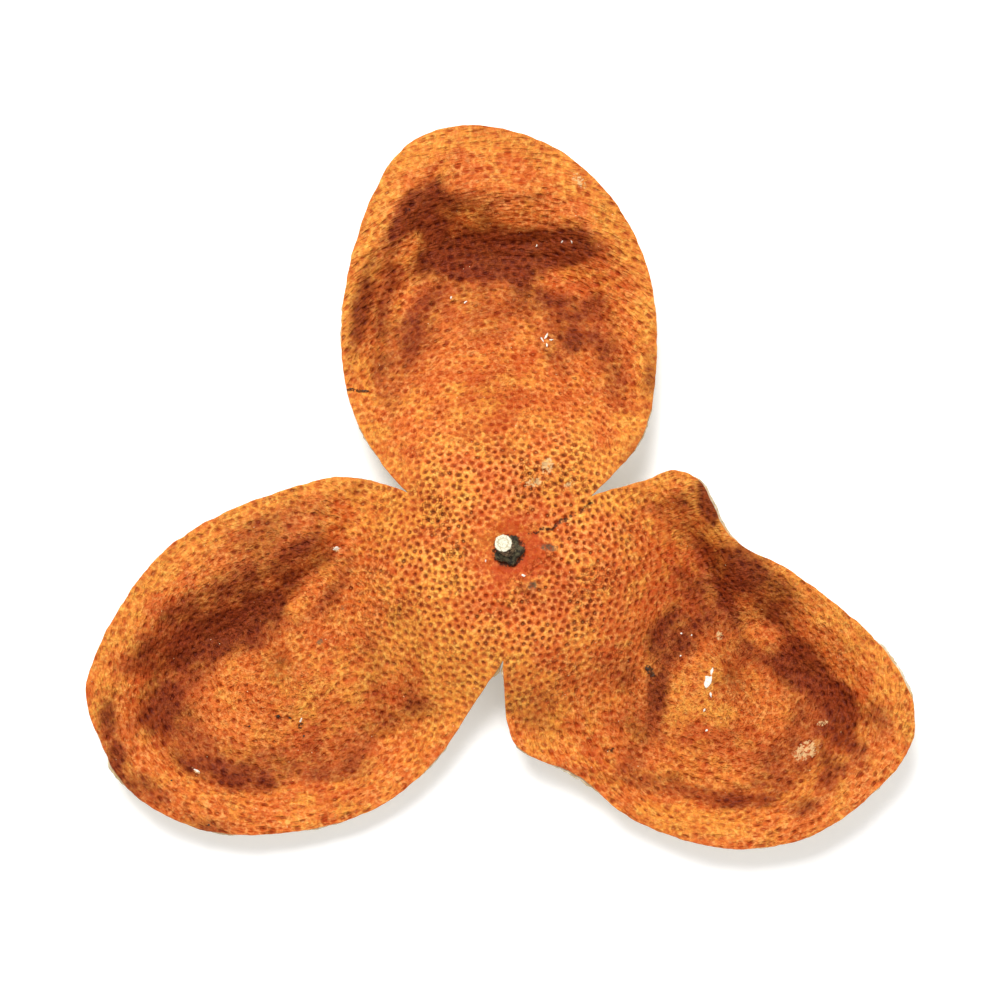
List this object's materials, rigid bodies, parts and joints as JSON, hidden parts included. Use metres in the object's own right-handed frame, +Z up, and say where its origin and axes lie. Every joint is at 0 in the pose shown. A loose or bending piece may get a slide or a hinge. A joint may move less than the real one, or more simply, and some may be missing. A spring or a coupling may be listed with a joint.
{
  "type": "orange peel",
  "caption": "Dried orange peel cut into three petals joined at the stem end, lying rind side up, each petal curled into a shallow dish, with the calyx button and stalk stub.",
  "frame": {"origin": "middle of the footprint's box, on the ground that the peel lies on", "axes": "+Z up, out of the rind side; +X across the two near petals, to the right; +Y from the stem towards the far petal"},
  "size_m": [0.1186, 0.1048, 0.0171],
  "materials": {
    "rind": "satin",
    "calyx": "matte",
    "stalk": "matte"
  },
  "bodies": {
    "root": {"peel": "rind", "calyx": "calyx", "stalk": "stalk"}
  },
  "joints": []
}
